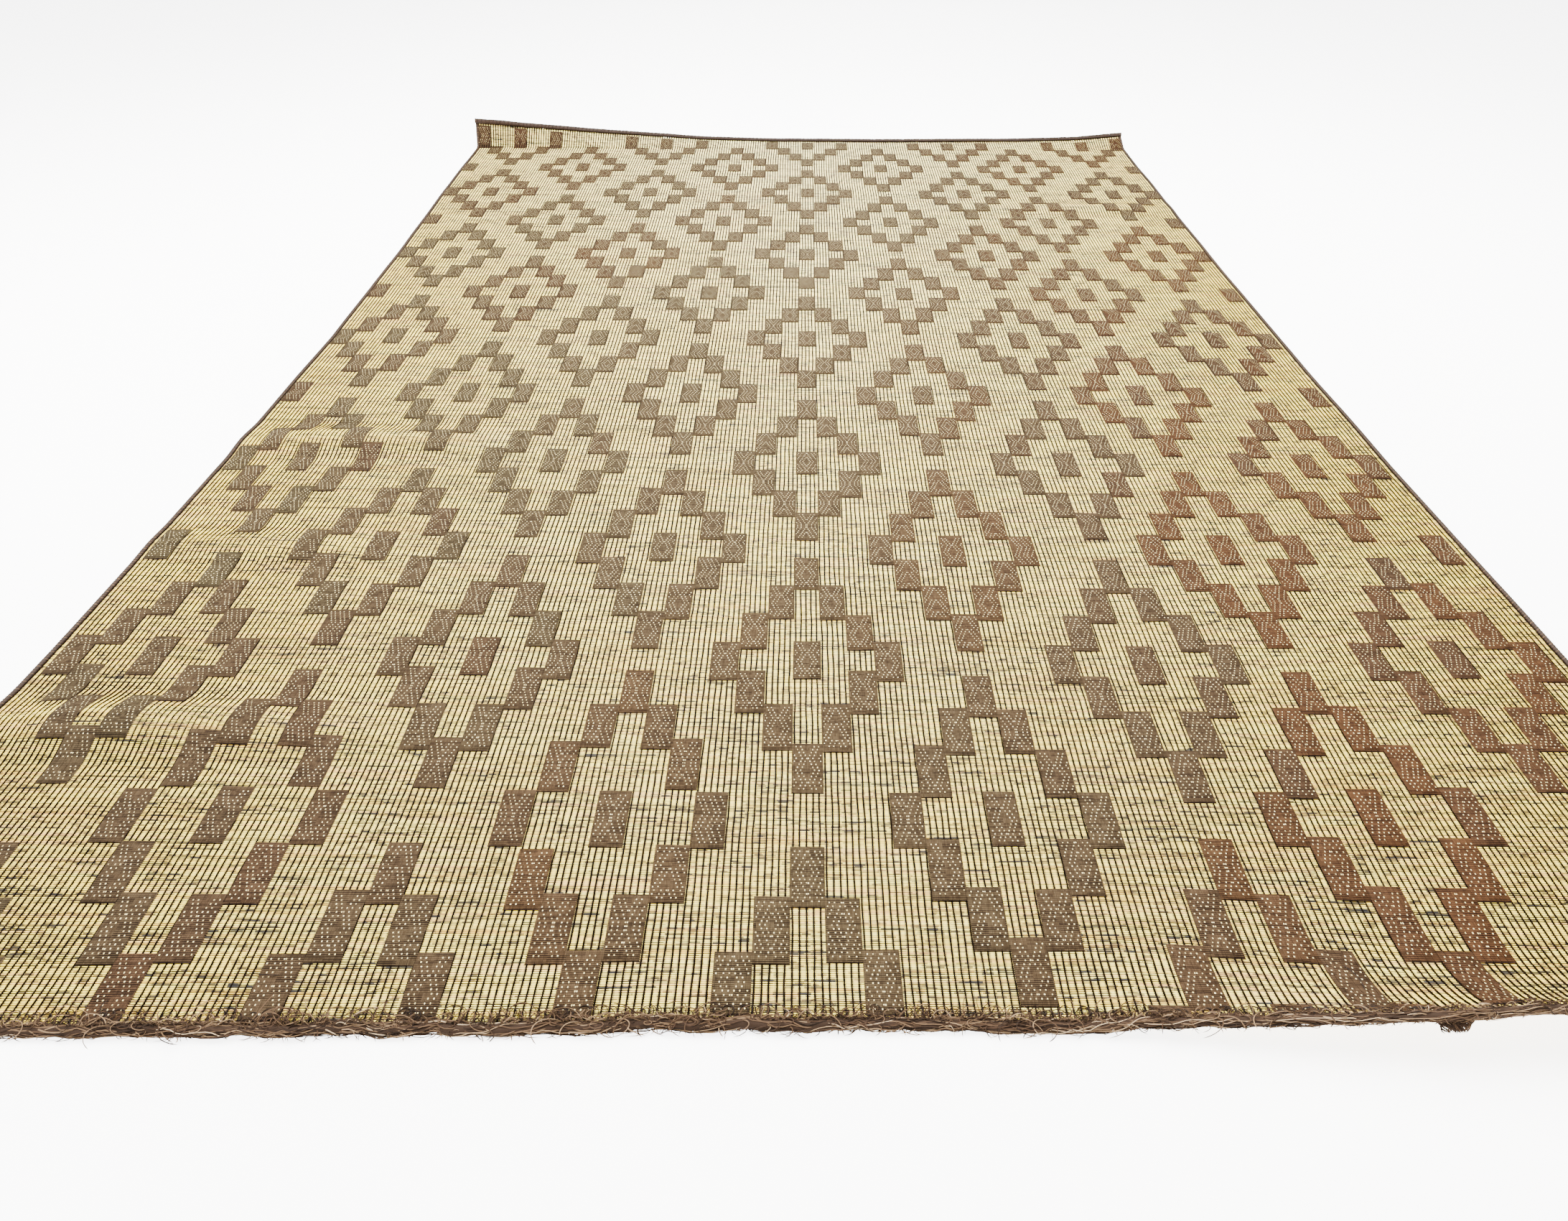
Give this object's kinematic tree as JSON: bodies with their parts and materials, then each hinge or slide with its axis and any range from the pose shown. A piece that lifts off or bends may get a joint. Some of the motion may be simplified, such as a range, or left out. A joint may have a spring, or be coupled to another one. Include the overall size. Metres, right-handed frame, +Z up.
{
  "type": "tuareg mat",
  "caption": "Large flat floor mat of reeds woven with leather thongs in a stepped diamond pattern, with bound sides, a bound far end turned up at one corner, and a fibre fringe.",
  "frame": {"origin": "middle of the mat's footprint, on the ground it lies on", "axes": "+X across the mat along the reeds, +Y from the fringed end to the bound end, +Z up"},
  "size_m": [3.2128, 5.1682, 0.1273],
  "materials": {
    "reed_weave": "satin straw reeds",
    "brown_leather": "dry matt hide",
    "palm_fibre": "matt fibre"
  },
  "bodies": {
    "root": {"mat": "reed_weave", "selvedge_left": "brown_leather", "selvedge_right": "brown_leather", "far_binding": "brown_leather", "fringe": "palm_fibre"}
  },
  "joints": []
}
